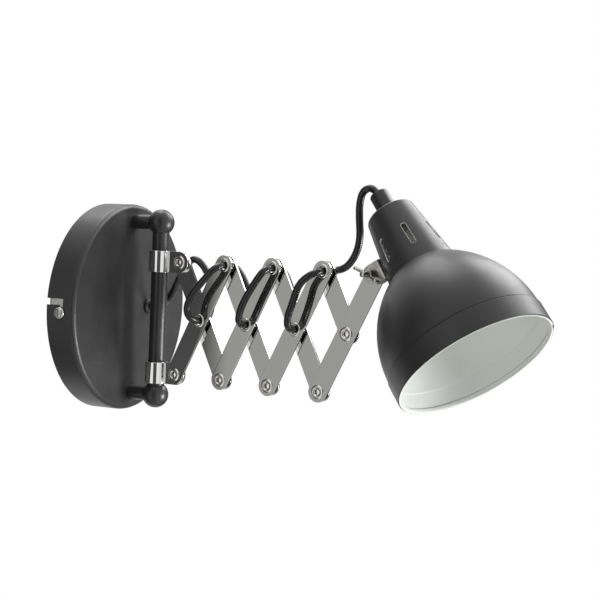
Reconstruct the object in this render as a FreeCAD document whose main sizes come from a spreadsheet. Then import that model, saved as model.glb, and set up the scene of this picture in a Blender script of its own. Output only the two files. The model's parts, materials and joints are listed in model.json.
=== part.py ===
import FreeCAD, Part

import math
import os
import re

import Sketcher

# Accordion wall lamp, millimetres.
# The origin is the middle of the wall plate's back face: +Z is up, +Y points into the wall and the
# arm reaches out along -Y. A moving piece is drawn in its own frame and placed by its pivot.

SIZES = {
    # wall canopy: a spun steel cup that covers the wall plate
    "canopy_radius": 75,
    "canopy_depth": 22,
    "canopy_sheet": 1,
    "canopy_edge": 3.5,
    # bayonet slots in the canopy's wall, one each side
    "slot_width": 4.4,
    "slot_level": 5.4,
    "slot_reach": 10.8,
    "slot_drop": 7.4,
    # wall plate: a bent steel strip with two long holes for the wall screws
    "plate_width": 16,
    "plate_sheet": 1.5,
    "plate_gap": 0.9,
    "plate_bend": 1,
    "tab_depth": 16,
    "wall_hole_spacing": 80,
    "wall_hole_length": 12,
    "wall_hole_width": 4.6,
    # screws: thread and head sizes
    "screw_thread": 4,
    "screw_head": 8,
    "screw_head_height": 2.4,
    "recess_length": 4.6,
    "recess_width": 0.9,
    "recess_depth": 1.2,
    "side_screw_length": 8,
    "post_screw_length": 9,
    # terminal block on the wall plate
    "block_length": 22,
    "block_width": 14,
    "block_height": 12,
    "block_bore": 3.4,
    "block_pitch": 8,
    "block_place": 23,
    # guide rod, its two balls and the posts that hold them off the canopy
    "rod_offset": 43.5,
    "rod_diameter": 12.2,
    "ball_diameter": 19,
    "ball_spacing": 125,
    "ball_seat": 3,
    "post_diameter": 10.5,
    "post_seat": 6.6,
    # cable and the grommet where it leaves the canopy
    "cable_diameter": 5,
    "grommet_place": 20,
    "grommet_neck": 7.6,
    "grommet_flange": 11,
    "grommet_front": 2.6,
    "grommet_back": 1.8,
    # collars: a strap folded round the rod, its two leaves closed into an ear
    "collar_height": 15.4,
    "collar_wall": 2,
    "collar_play": 0.15,
    "ear_reach": 18.5,
    "low_pivot": 46,
    # scissor links
    "arm_swing": -8,
    "link_angle": 63.45,
    "link_length": 90,
    "link_width": 14,
    "link_sheet": 1.5,
    "layer_gap": 2.4,
    # rivets and eyelets
    "shank_radius": 3.7,
    "shoulder_radius": 5,
    "flange_radius": 4.8,
    "flange_sheet": 0.6,
    "eyelet_bore": 3,
    "dimple_radius": 1.8,
    "dimple_depth": 1.6,
    # running clearances, radial and along a pivot
    "turn_gap": 0.06,
    "face_gap": 0.05,
    # tilt bracket on the last link, its screw, washers and wing nut
    "head_tilt": 50.2,
    "head_roll": 10.8,
    "tilt_offset": 28.7,
    "bracket_gap": 9.2,
    "bracket_sheet": 1.2,
    "bracket_height": 13,
    "bracket_corner": 6.2,
    "bracket_bend": 1,
    "seat_gap": 0.1,
    "washer_radius": 5.2,
    "tilt_screw_tip": 19,
    "nut_radius": 4.2,
    "nut_top_radius": 3.4,
    "nut_height": 6.4,
    "wing_reach": 10.4,
    "wing_tip": 2.6,
    "wing_rise": 9.5,
    "wing_slope": 22,
    "wing_root": 1,
    "wing_sheet": 1.6,
    "wing_turn": 24,
    "neck_screw_seat": 0.5,
    # shade: spun steel, a slotted conical neck, a dome and a turned band at the rim
    "shade_sheet": 1,
    "neck_top": 27,
    "neck_top_radius": 16.1,
    "neck_edge": 1.6,
    "neck_end": 20.5,
    "neck_end_radius": 22.8,
    "dome_arc": 71,
    "dome_end": 77.5,
    "band_step": 0.7,
    "band_radius": 52.2,
    "rim_end": 92,
    "vent_length": 17,
    "vent_width": 3.2,
    "vent_top": 7.6,
    "vent_step": 56,
    # lampholder, its threaded tube and the cap over the cable
    "holder_radius": 13.4,
    "holder_neck_radius": 9,
    "holder_top": 22.5,
    "holder_waist": 12,
    "holder_shoulder": 4,
    "holder_end": 22,
    "holder_lip": 1.2,
    "liner_radius": 7.1,
    "liner_sheet": 0.5,
    "socket_top": 3,
    "contact_radius": 2.6,
    "contact_height": 0.5,
    "nipple_radius": 5,
    "nipple_bore": 3.2,
    "nipple_seat": 5,
    "nipple_rise": 5.5,
    "locknut_width": 14,
    "locknut_height": 3,
    "cap_radius": 6.4,
    "cap_height": 17,
    "cap_edge": 0.8,
    "cap_entry": 4,
}

doc = FreeCAD.newDocument("accordion_wall_lamp")
sheet = doc.addObject("Spreadsheet::Sheet", "sizes")
for row, (alias, number) in enumerate(SIZES.items(), start=1):
    sheet.set(f"A{row}", alias)
    sheet.set(f"B{row}", str(number))
    sheet.setAlias(f"B{row}", alias)
doc.recompute()

NOT_SIZES = ("sin", "cos", "tan", "sqrt", "deg")


def cell(text):
    """An expression in plain size names, written for the sheet's cells."""
    return re.sub(r"[a-z]+(?:_[a-z]+)*",
                  lambda word: word[0] if word[0] in NOT_SIZES else "sizes." + word[0], str(text))


def measure(text):
    """The number that an expression in plain size names stands for."""
    return float(sheet.evalExpression(cell(text)))


def new_body(label):
    body = doc.addObject("PartDesign::Body", label)
    body.Label = label
    return body


def origin_feature(body, role):
    return next(item for item in body.Origin.OriginFeatures if item.Role == role)


def new_sketch(body, role, offset=None):
    sketch = body.newObject("Sketcher::SketchObject", "outline")
    sketch.AttachmentSupport = [(origin_feature(body, role), "")]
    sketch.MapMode = "FlatFace"
    if offset is not None:
        sketch.setExpression("AttachmentOffset.Base.z", cell(offset))
    return sketch


def bind(sketch, index, name, expression):
    sketch.renameConstraint(index, name)
    sketch.setExpression("Constraints." + name, cell(expression))


def pin(sketch, geometry, point, x, y):
    """Hold one point of the sketch at x, y from its origin."""
    for kind, expression in (("X", x), ("Y", y)):
        constraint = Sketcher.Constraint("Distance" + kind, -1, 1, geometry, point,
                                         measure(expression))
        index = sketch.addConstraint(constraint)
        bind(sketch, index, f"{kind.lower()}_{geometry}_{point}", expression)


def outline(sketch, corners):
    """A closed outline. A corner is x, y and, where an arc starts there, its radius and the side
    on which its centre lies: 1 for left of the way ahead, -1 for right."""
    first = sketch.GeometryCount
    points = [FreeCAD.Vector(measure(corner[0]), measure(corner[1]), 0) for corner in corners]
    ends = []
    for number, corner in enumerate(corners):
        start = points[number]
        end = points[(number + 1) % len(points)]
        if len(corner) == 2:
            sketch.addGeometry(Part.LineSegment(start, end), False)
            ends.append((1, 2))
            continue
        radius = measure(corner[2])
        side = corner[3]
        chord = end - start
        across = FreeCAD.Vector(-chord.y, chord.x, 0).normalize() * side
        depth = math.sqrt(max(radius**2 - chord.Length**2 / 4, 0)) - radius
        middle = (start + end) / 2 + across * depth
        if side > 0:
            sketch.addGeometry(Part.Arc(start, middle, end), False)
            ends.append((1, 2))
        else:
            sketch.addGeometry(Part.Arc(end, middle, start), False)
            ends.append((2, 1))
    for number, corner in enumerate(corners):
        following = (number + 1) % len(corners)
        sketch.addConstraint(Sketcher.Constraint(
            "Coincident", first + number, ends[number][1], first + following, ends[following][0]))
        pin(sketch, first + number, ends[number][0], corner[0], corner[1])
        if len(corner) > 2 and chord_is_open(points, number, measure(corner[2])):
            index = sketch.addConstraint(Sketcher.Constraint(
                "Radius", first + number, measure(corner[2])))
            bind(sketch, index, f"radius_{first + number}", corner[2])


def chord_is_open(points, number, radius):
    """True for an arc of less than a half circle: a half circle is set by its two ends."""
    chord = points[(number + 1) % len(points)] - points[number]
    return chord.Length < 2 * radius * 0.999


def ring(sketch, x, y, radius):
    geometry = sketch.addGeometry(
        Part.Circle(FreeCAD.Vector(measure(x), measure(y), 0), FreeCAD.Vector(0, 0, 1),
                    measure(radius)), False)
    pin(sketch, geometry, 3, x, y)
    index = sketch.addConstraint(Sketcher.Constraint("Radius", geometry, measure(radius)))
    bind(sketch, index, f"radius_{geometry}", radius)


def pad(body, sketch, length, reverse=False, middle=False):
    feature = body.newObject("PartDesign::Pad", "pad")
    feature.Profile = sketch
    feature.setExpression("Length", cell(length))
    feature.SideType = "Symmetric" if middle else "One side"
    feature.Reversed = reverse
    body.Tip = feature
    return feature


def pocket(body, sketch, length, reverse=False, middle=False):
    """Cut the sketch out of the body. The cut has to take some of the solid away."""
    doc.recompute()
    before = body.Shape.Volume
    feature = body.newObject("PartDesign::Pocket", "pocket")
    feature.Profile = sketch
    feature.Type = "Length"
    feature.setExpression("Length", cell(length))
    feature.SideType = "Symmetric" if middle else "One side"
    feature.Reversed = reverse
    body.Tip = feature
    doc.recompute()
    if body.Shape.Volume > before - 0.01:
        raise ValueError(f"a pocket in {body.Label} cuts nothing")
    return feature


def revolve(body, sketch, role):
    feature = body.newObject("PartDesign::Revolution", "turned")
    feature.Profile = sketch
    feature.ReferenceAxis = (origin_feature(body, role), [""])
    feature.Angle = 360
    body.Tip = feature
    return feature


def repeat_round(body, feature, role, count, angle):
    pattern = body.newObject("PartDesign::PolarPattern", "pattern")
    pattern.Originals = [feature]
    pattern.Axis = (origin_feature(body, role), [""])
    pattern.Occurrences = count
    if angle is None:
        pattern.Angle = 360
    else:
        pattern.setExpression("Angle", cell(angle))
    body.Tip = pattern
    return pattern


def round_edges(body, radius, chosen, chamfer=False):
    """Round or chamfer the body's edges for which chosen(edge) is true."""
    doc.recompute()
    base = body.Tip
    names = [f"Edge{number}" for number, edge in enumerate(base.Shape.Edges, start=1)
             if chosen(edge)]
    if not names:
        raise ValueError(f"no edge to round in {body.Label}")
    kind = "PartDesign::Chamfer" if chamfer else "PartDesign::Fillet"
    feature = body.newObject(kind, "edges")
    feature.Base = (base, names)
    feature.setExpression("Size" if chamfer else "Radius", cell(radius))
    body.Tip = feature
    return feature


def is_circle(edge, radius, along=None, place=None):
    """True for a full circle of this radius whose centre lies at this place along an axis."""
    if not isinstance(edge.Curve, Part.Circle) or abs(edge.Curve.Radius - measure(radius)) > 0.01:
        return False
    return place is None or abs(edge.Curve.Center[along] - measure(place)) < 0.01


def turn(degrees, axis):
    return FreeCAD.Placement(FreeCAD.Vector(), FreeCAD.Rotation(FreeCAD.Vector(*axis), degrees))


def shift(x, y, z):
    return FreeCAD.Placement(FreeCAD.Vector(x, y, z), FreeCAD.Rotation())


# Pivots of the arm, in the plane of the arm: rows of low, middle and high pivots, one pitch apart.
ANGLE = math.radians(measure("link_angle"))
PITCH = measure("link_length") * math.cos(ANGLE)
RISE = measure("link_length") * math.sin(ANGLE)
LOW = -measure("low_pivot")
REACH = measure("ear_reach")
ARM = shift(0, -measure("rod_offset"), 0) * turn(measure("arm_swing"), (0, 0, 1))


def low_pivot(number, layer=0):
    return ARM * shift(layer, -REACH - PITCH * number, LOW)


def middle_pivot(number, layer=0):
    return ARM * shift(layer, -REACH - PITCH * (number + 0.5), LOW + RISE / 2)


def high_pivot(number, layer=0):
    return ARM * shift(layer, -REACH - PITCH * number, LOW + RISE)


LAYER = measure("layer_gap / 2 + link_sheet / 2")
LEAN = 90 - measure("link_angle")
RISING = turn(LEAN, (1, 0, 0))
FALLING = turn(-LEAN, (1, 0, 0))


# ---- wall plate -------------------------------------------------------------------------------
# A steel strip bent up at both ends into tabs, tapped for the two side screws.

PLATE_END = "(canopy_radius - canopy_sheet - plate_gap)"
PLATE_BEND = "(plate_bend + plate_sheet)"
wall_plate = new_body("wall_plate")
sketch = new_sketch(wall_plate, "XY_Plane")
outline(sketch, [
    (f"-{PLATE_END}", "-tab_depth"),
    (f"-{PLATE_END} + plate_sheet", "-tab_depth"),
    (f"-{PLATE_END} + plate_sheet", f"-{PLATE_BEND}", "plate_bend", 1),
    (f"-{PLATE_END} + {PLATE_BEND}", "-plate_sheet"),
    (f"{PLATE_END} - {PLATE_BEND}", "-plate_sheet", "plate_bend", 1),
    (f"{PLATE_END} - plate_sheet", f"-{PLATE_BEND}"),
    (f"{PLATE_END} - plate_sheet", "-tab_depth"),
    (PLATE_END, "-tab_depth"),
    (PLATE_END, f"-{PLATE_BEND}", PLATE_BEND, 1),
    (f"{PLATE_END} - {PLATE_BEND}", "0"),
    (f"-{PLATE_END} + {PLATE_BEND}", "0", PLATE_BEND, 1),
    (f"-{PLATE_END}", f"-{PLATE_BEND}"),
])
pad(wall_plate, sketch, "plate_width", middle=True)
sketch = new_sketch(wall_plate, "XZ_Plane")
for side in ("-1", "1"):
    middle = f"{side} * wall_hole_spacing / 2"
    straight = "(wall_hole_length - wall_hole_width) / 2"
    outline(sketch, [
        (f"{middle} - {straight}", "-wall_hole_width / 2"),
        (f"{middle} + {straight}", "-wall_hole_width / 2", "wall_hole_width / 2", 1),
        (f"{middle} + {straight}", "wall_hole_width / 2"),
        (f"{middle} - {straight}", "wall_hole_width / 2", "wall_hole_width / 2", 1),
    ])
pocket(wall_plate, sketch, "plate_sheet * 4", middle=True)
sketch = new_sketch(wall_plate, "YZ_Plane", f"-{PLATE_END}")
ring(sketch, "-slot_reach", "slot_level - slot_drop", "screw_thread / 2 + face_gap")
tapped = pocket(wall_plate, sketch, "plate_sheet * 4", middle=True)
repeat_round(wall_plate, tapped, "Y_Axis", 2, None)
round_edges(wall_plate, "plate_bend * 2", lambda edge: (
    edge.BoundBox.YLength < 0.01 and edge.BoundBox.ZLength < 0.01
    and abs(edge.BoundBox.YMax + measure("tab_depth")) < 0.01))


# ---- canopy -----------------------------------------------------------------------------------

canopy_shell = new_body("canopy_shell")
sketch = new_sketch(canopy_shell, "XY_Plane")
outline(sketch, [
    ("0", "-canopy_depth"),
    ("canopy_radius - canopy_edge", "-canopy_depth", "canopy_edge", 1),
    ("canopy_radius", "-canopy_depth + canopy_edge"),
    ("canopy_radius", "0"),
    ("canopy_radius - canopy_sheet", "0"),
    ("canopy_radius - canopy_sheet", "-canopy_depth + canopy_edge",
     "canopy_edge - canopy_sheet", -1),
    ("canopy_radius - canopy_edge", "-canopy_depth + canopy_sheet"),
    ("0", "-canopy_depth + canopy_sheet"),
])
revolve(canopy_shell, sketch, "Y_Axis")
sketch = new_sketch(canopy_shell, "XZ_Plane")
ring(sketch, "grommet_place", "0", "grommet_neck / 2 + face_gap")
for side in ("-1", "1"):
    ring(sketch, "0", f"{side} * ball_spacing / 2", "screw_thread / 2 + face_gap")
pocket(canopy_shell, sketch, "canopy_depth * 2", reverse=True)
SLOT_LOW = "(slot_level - slot_drop)"
sketch = new_sketch(canopy_shell, "YZ_Plane", "-canopy_radius - canopy_sheet")
outline(sketch, [
    ("canopy_edge", "slot_level + slot_width / 2"),
    ("-slot_reach - slot_width / 2", "slot_level + slot_width / 2"),
    ("-slot_reach - slot_width / 2", SLOT_LOW, "slot_width / 2", 1),
    ("-slot_reach + slot_width / 2", SLOT_LOW),
    ("-slot_reach + slot_width / 2", "slot_level - slot_width / 2"),
    ("canopy_edge", "slot_level - slot_width / 2"),
])
slot = pocket(canopy_shell, sketch, "canopy_radius / 2", reverse=True)
repeat_round(canopy_shell, slot, "Y_Axis", 2, None)


# ---- screws -----------------------------------------------------------------------------------

def make_screw(label, length, placement):
    """A pan head screw. Its head sits at x below zero and its thread runs along +X."""
    body = new_body(label)
    sketch = new_sketch(body, "XY_Plane")
    outline(sketch, [
        ("-screw_head_height", "0"),
        (length, "0"),
        (length, "screw_thread / 2 - screw_thread / 8"),
        (f"{length} - screw_thread / 8", "screw_thread / 2"),
        ("0", "screw_thread / 2"),
        ("0", "screw_head / 2"),
        ("-screw_head_height / 3", "screw_head / 2", "screw_head_height", 1),
        ("-screw_head_height", "screw_head / 4"),
    ])
    revolve(body, sketch, "X_Axis")
    sketch = new_sketch(body, "YZ_Plane", "-screw_head_height")
    half = "recess_length / 2"
    thin = "recess_width / 2"
    outline(sketch, [
        (half, f"-{thin}"), (half, thin), (thin, thin), (thin, half),
        (f"-{thin}", half), (f"-{thin}", thin), (f"-{half}", thin), (f"-{half}", f"-{thin}"),
        (f"-{thin}", f"-{thin}"), (f"-{thin}", f"-{half}"), (thin, f"-{half}"),
        (thin, f"-{thin}"),
    ])
    pocket(body, sketch, "recess_depth * 2", middle=True)
    body.Placement = placement
    return body


SEAT = measure("canopy_radius + face_gap")
for label, heading in (("side_screw_left", 0), ("side_screw_right", 180)):
    make_screw(label, "side_screw_length",
               turn(heading, (0, 1, 0))
               * shift(-SEAT, -measure("slot_reach"), measure("slot_level - slot_drop")))
for label, side in (("upper_post_screw", 1), ("lower_post_screw", -1)):
    make_screw(label, "post_screw_length",
               shift(0, -measure("canopy_depth - canopy_sheet"), side * measure("ball_spacing") / 2)
               * turn(-90, (0, 0, 1)))


# ---- terminal block ---------------------------------------------------------------------------

terminal_block = new_body("terminal_block")
sketch = new_sketch(terminal_block, "XZ_Plane", "plate_sheet")
outline(sketch, [
    ("block_place - block_length / 2", "-block_width / 2"),
    ("block_place + block_length / 2", "-block_width / 2"),
    ("block_place + block_length / 2", "block_width / 2"),
    ("block_place - block_length / 2", "block_width / 2"),
])
pad(terminal_block, sketch, "block_height")
sketch = new_sketch(terminal_block, "XY_Plane")
for side in ("-1", "1"):
    ring(sketch, f"block_place + {side} * block_pitch / 2", "-plate_sheet - block_height / 3",
         "block_bore / 2")
pocket(terminal_block, sketch, "block_width * 2", middle=True)
sketch = new_sketch(terminal_block, "XZ_Plane", "plate_sheet + block_height")
for side in ("-1", "1"):
    ring(sketch, f"block_place + {side} * block_pitch / 2", "block_width / 4", "block_bore / 2")
pocket(terminal_block, sketch, "block_height / 2")


# ---- grommet ----------------------------------------------------------------------------------
# A rubber ring pressed into the canopy's front: the cable leaves through it.

cable_grommet = new_body("cable_grommet")
sketch = new_sketch(cable_grommet, "XY_Plane")
GROMMET_BORE = "cable_diameter / 2 + face_gap"
outline(sketch, [
    (GROMMET_BORE, "-canopy_depth + canopy_sheet + grommet_back"),
    ("grommet_flange / 2", "-canopy_depth + canopy_sheet + grommet_back"),
    ("grommet_flange / 2", "-canopy_depth + canopy_sheet"),
    ("grommet_neck / 2", "-canopy_depth + canopy_sheet"),
    ("grommet_neck / 2", "-canopy_depth"),
    ("grommet_flange / 2", "-canopy_depth"),
    ("grommet_flange / 2", "-canopy_depth - grommet_front / 3", "grommet_front", -1),
    ("grommet_flange / 2 - grommet_front * 0.6", "-canopy_depth - grommet_front"),
    (GROMMET_BORE, "-canopy_depth - grommet_front"),
])
revolve(cable_grommet, sketch, "Y_Axis")
cable_grommet.Placement = shift(measure("grommet_place"), 0, 0)


# ---- posts, balls and guide rod ---------------------------------------------------------------

def make_post(label, side):
    body = new_body(label)
    sketch = new_sketch(body, "XY_Plane")
    outline(sketch, [
        ("screw_thread / 2 + face_gap", "-canopy_depth"),
        ("post_diameter / 2", "-canopy_depth"),
        ("post_diameter / 2", "-rod_offset + post_seat"),
        ("0", "-rod_offset + post_seat"),
        ("0", "-canopy_depth + canopy_sheet - post_screw_length - face_gap * 4"),
        ("screw_thread / 2 + face_gap",
         "-canopy_depth + canopy_sheet - post_screw_length - face_gap * 4"),
    ])
    revolve(body, sketch, "Y_Axis")
    body.Placement = shift(0, 0, side * measure("ball_spacing") / 2)
    return body


def make_ball(label, placement):
    """A turned ball, drilled from below for the rod and from the side for the post."""
    body = new_body(label)
    sketch = new_sketch(body, "XZ_Plane")
    outline(sketch, [
        ("0", "-ball_diameter / 2", "ball_diameter / 2", 1),
        ("0", "ball_diameter / 2"),
    ])
    revolve(body, sketch, "Z_Axis")
    sketch = new_sketch(body, "XY_Plane", "-ball_seat")
    ring(sketch, "0", "0", "rod_diameter / 2 + face_gap")
    pocket(body, sketch, "ball_diameter")
    sketch = new_sketch(body, "XZ_Plane", "-post_seat")
    ring(sketch, "0", "0", "post_diameter / 2 + face_gap")
    pocket(body, sketch, "ball_diameter")
    body.Placement = placement
    return body


for label, side in (("upper_post", 1), ("lower_post", -1)):
    make_post(label, side)
for label, side, flip in (("upper_ball", 1, 0), ("lower_ball", -1, 180)):
    make_ball(label, shift(0, -measure("rod_offset"), side * measure("ball_spacing") / 2)
              * turn(flip, (0, 1, 0)))

guide_rod = doc.addObject("Part::Cylinder", "guide_rod")
guide_rod.setExpression("Radius", cell("rod_diameter / 2"))
guide_rod.setExpression("Height", cell("ball_spacing - ball_seat * 2"))
guide_rod.setExpression("Placement.Base.y", cell("-rod_offset"))
guide_rod.setExpression("Placement.Base.z", cell("-ball_spacing / 2 + ball_seat"))


# ---- collars ----------------------------------------------------------------------------------
# Polished strap, wrapped round the rod. The ear carries the first pivot of each row of links.

EAR_SHEET = "(layer_gap - face_gap * 2)"


def make_collar(label, height_of_pivot):
    body = new_body(label)
    sketch = new_sketch(body, "XY_Plane")
    ring(sketch, "0", "0", "rod_diameter / 2 + collar_play + collar_wall")
    ring(sketch, "0", "0", "rod_diameter / 2 + collar_play")
    pad(body, sketch, "collar_height", middle=True)
    sketch = new_sketch(body, "YZ_Plane")
    outline(sketch, [
        ("-rod_diameter / 2 - collar_play - collar_wall / 2", "collar_height / 2"),
        ("-ear_reach", "collar_height / 2", "collar_height / 2", 1),
        ("-ear_reach", "-collar_height / 2"),
        ("-rod_diameter / 2 - collar_play - collar_wall / 2", "-collar_height / 2"),
    ])
    ring(sketch, "-ear_reach", "0", "shank_radius + face_gap")
    pad(body, sketch, EAR_SHEET, middle=True)
    edge_of_ring = measure("rod_diameter / 2 + collar_play + collar_wall")
    half_ear = measure(EAR_SHEET) / 2
    root = -math.sqrt(edge_of_ring**2 - half_ear**2)
    round_edges(body, "collar_wall / 2", lambda edge: (
        edge.BoundBox.ZLength > 10 and abs(abs(edge.BoundBox.Center.x) - half_ear) < 0.05
        and abs(edge.BoundBox.Center.y - root) < 0.05))
    body.Placement = ARM * shift(0, 0, height_of_pivot)
    return body


make_collar("upper_collar", LOW + RISE)
make_collar("lower_collar", LOW)


# ---- scissor links ----------------------------------------------------------------------------
# Polished steel strips. Those that rise outwards lie nearest the viewer, the falling ones behind.

def make_link(label, holes, placement):
    """A strip with round ends along +Z. holes lists where each hole is and its radius."""
    body = new_body(label)
    sketch = new_sketch(body, "YZ_Plane")
    far = holes[-1][0]
    outline(sketch, [
        ("link_width / 2", "0"),
        ("link_width / 2", far, "link_width / 2", 1),
        ("-link_width / 2", far),
        ("-link_width / 2", "0", "link_width / 2", 1),
    ])
    for place, radius in holes:
        ring(sketch, "0", place, radius)
    pad(body, sketch, "link_sheet", middle=True)
    body.Placement = placement
    return body


PIVOT_HOLE = "shank_radius + turn_gap"
SCREW_HOLE = "screw_thread / 2 + turn_gap"
LINKS = 4
for number in range(LINKS):
    last = number == LINKS - 1
    make_link(f"rising_link_{number + 1}",
              [("0", PIVOT_HOLE), ("link_length / 2", PIVOT_HOLE),
               ("link_length", SCREW_HOLE if last else PIVOT_HOLE)],
              low_pivot(number, -LAYER) * RISING)
for number in range(LINKS - 1):
    make_link(f"falling_link_{number + 1}",
              [("0", PIVOT_HOLE), ("link_length / 2", PIVOT_HOLE), ("link_length", PIVOT_HOLE)],
              low_pivot(number + 1, LAYER) * FALLING)
make_link(f"falling_link_{LINKS}", [("0", PIVOT_HOLE), ("link_length / 2", PIVOT_HOLE)],
          middle_pivot(LINKS - 1, LAYER) * FALLING)


# ---- rivets and eyelets -----------------------------------------------------------------------

FRONT_FACE = "(layer_gap / 2 + link_sheet)"


def make_rivet(label, front, back, hollow, shouldered, placement):
    """A turned rivet along X, flanged over the faces at -front and +back. A hollow one is an
    eyelet for the cable, the others have a dimple. A shoulder keeps two links apart."""
    body = new_body(label)
    sketch = new_sketch(body, "XY_Plane")
    inner = "eyelet_bore" if hollow else "0"
    left = f"-{front} - face_gap"
    right = f"{back} + face_gap"
    corners = [(f"{left} - flange_sheet", inner)]
    if not hollow:
        corners = [(f"{left} - flange_sheet + dimple_depth", "0"),
                   (f"{left} - flange_sheet + dimple_depth", "dimple_radius"),
                   (f"{left} - flange_sheet", "dimple_radius")]
    corners += [(f"{left} - flange_sheet", "flange_radius"), (left, "flange_radius"),
                (left, "shank_radius")]
    if shouldered:
        corners += [("-layer_gap / 2 + face_gap", "shank_radius"),
                    ("-layer_gap / 2 + face_gap", "shoulder_radius"),
                    ("layer_gap / 2 - face_gap", "shoulder_radius"),
                    ("layer_gap / 2 - face_gap", "shank_radius")]
    corners += [(right, "shank_radius"), (right, "flange_radius"),
                (f"{right} + flange_sheet", "flange_radius"),
                (f"{right} + flange_sheet", inner)]
    outline(sketch, corners[::-1])
    revolve(body, sketch, "X_Axis")
    outer = measure(f"{front} + face_gap + flange_sheet")
    round_edges(body, "flange_sheet * 0.45", lambda edge: (
        is_circle(edge, "flange_radius") and abs(edge.Curve.Center.x + outer) < 0.01
        or is_circle(edge, "eyelet_bore" if hollow else "dimple_radius")
        and abs(edge.Curve.Center.x + outer) < 0.01))
    body.Placement = placement
    return body


EAR_FACE = f"{EAR_SHEET} / 2"
make_rivet("upper_collar_rivet", EAR_FACE, FRONT_FACE, False, False, high_pivot(0))
make_rivet("lower_collar_rivet", FRONT_FACE, EAR_FACE, False, False, low_pivot(0))
for number in range(1, LINKS):
    make_rivet(f"low_rivet_{number}", FRONT_FACE, FRONT_FACE, False, True, low_pivot(number))
    make_rivet(f"high_eyelet_{number}", FRONT_FACE, FRONT_FACE, True, True, high_pivot(number))
    make_rivet(f"middle_eyelet_{number}", FRONT_FACE, FRONT_FACE, True, True,
               middle_pivot(number - 1))
make_rivet("middle_rivet", FRONT_FACE, FRONT_FACE, False, True, middle_pivot(LINKS - 1))


# ---- shade ------------------------------------------------------------------------------------
# The head's frame has +Z along its axis towards the cable and +Y towards the tilt pivot.

def lamp_head(roll):
    """Place a piece of the head, rolled about the screw that holds the neck to its bracket."""
    pivot = high_pivot(LINKS, -LAYER) * turn(measure("head_tilt") - 90, (1, 0, 0))
    slope = math.degrees(math.atan2(measure("neck_end_radius - neck_top_radius"),
                                    measure("neck_end + neck_top")))
    lean = turn(slope, (1, 0, 0))
    return (pivot * lean * turn(roll, (0, 1, 0)) * lean.inverse()
            * shift(0, -measure("tilt_offset"), 0)), pivot * lean


HEAD, BRACKET = lamp_head(measure("head_roll"))
TAPER = "((neck_end_radius - neck_top_radius) / (neck_end + neck_top))"
SLANT = f"sqrt(1 + {TAPER} * {TAPER})"
SKIN = f"(shade_sheet * {SLANT})"
TOP_INSIDE = f"(neck_top_radius - {SKIN} + {TAPER} * shade_sheet)"
NECK_GAP = f"((tilt_offset - neck_top_radius - {TAPER} * neck_top) / {SLANT})"

shade_shell = new_body("shade_shell")
sketch = new_sketch(shade_shell, "XZ_Plane")
outline(sketch, [
    ("nipple_radius + face_gap", "neck_top"),
    ("nipple_radius + face_gap", "neck_top - shade_sheet"),
    (TOP_INSIDE, "neck_top - shade_sheet"),
    (f"neck_end_radius - {SKIN}", "-neck_end + shade_sheet / 3"),
    (f"neck_end_radius - {SKIN} * 0.3", "-neck_end - shade_sheet", "dome_arc - shade_sheet", -1),
    ("band_radius - band_step - shade_sheet", "-dome_end"),
    ("band_radius - shade_sheet", "-dome_end - shade_sheet"),
    ("band_radius - shade_sheet", "-rim_end"),
    ("band_radius", "-rim_end"),
    ("band_radius", "-dome_end"),
    ("band_radius - band_step", "-dome_end + shade_sheet / 2", "dome_arc", 1),
    ("neck_end_radius + shade_sheet / 2", "-neck_end"),
    ("neck_end_radius", "-neck_end + shade_sheet / 2"),
    (f"neck_top_radius + {TAPER} * neck_edge", "neck_top - neck_edge", "neck_edge * 1.05", 1),
    ("neck_top_radius - neck_edge", "neck_top"),
])
revolve(shade_shell, sketch, "Z_Axis")
sketch = new_sketch(shade_shell, "XZ_Plane", "nipple_radius")
VENT_LOW = "(vent_top - vent_length + vent_width / 2)"
VENT_HIGH = "(vent_top - vent_width / 2)"
outline(sketch, [
    ("-vent_width / 2", VENT_HIGH),
    ("-vent_width / 2", VENT_LOW, "vent_width / 2", 1),
    ("vent_width / 2", VENT_LOW),
    ("vent_width / 2", VENT_HIGH, "vent_width / 2", 1),
])
vent = pocket(shade_shell, sketch, "neck_end_radius", reverse=True)
vents = repeat_round(shade_shell, vent, "Z_Axis", 3, "vent_step * 2")
mirrored = shade_shell.newObject("PartDesign::PolarPattern", "pattern")
mirrored.Originals = [vent]
mirrored.Axis = (origin_feature(shade_shell, "Z_Axis"), [""])
mirrored.Occurrences = 3
mirrored.Reversed = True
mirrored.setExpression("Angle", cell("vent_step * 2"))
shade_shell.Tip = mirrored
sketch = new_sketch(shade_shell, "XZ_Plane")
ring(sketch, "0", f"-({NECK_GAP} + shade_sheet / 2) * {TAPER} / {SLANT}",
     "screw_thread / 2 + shade_sheet / 4")
pocket(shade_shell, sketch, "neck_end_radius * 2")
shade_shell.Placement = HEAD


# ---- tilt bracket -----------------------------------------------------------------------------
# A bent strip whose web is screwed flat to the cone of the neck. Its two ears straddle the last
# link. Its frame starts at the tilt pivot: -Y runs square into the neck.

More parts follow.
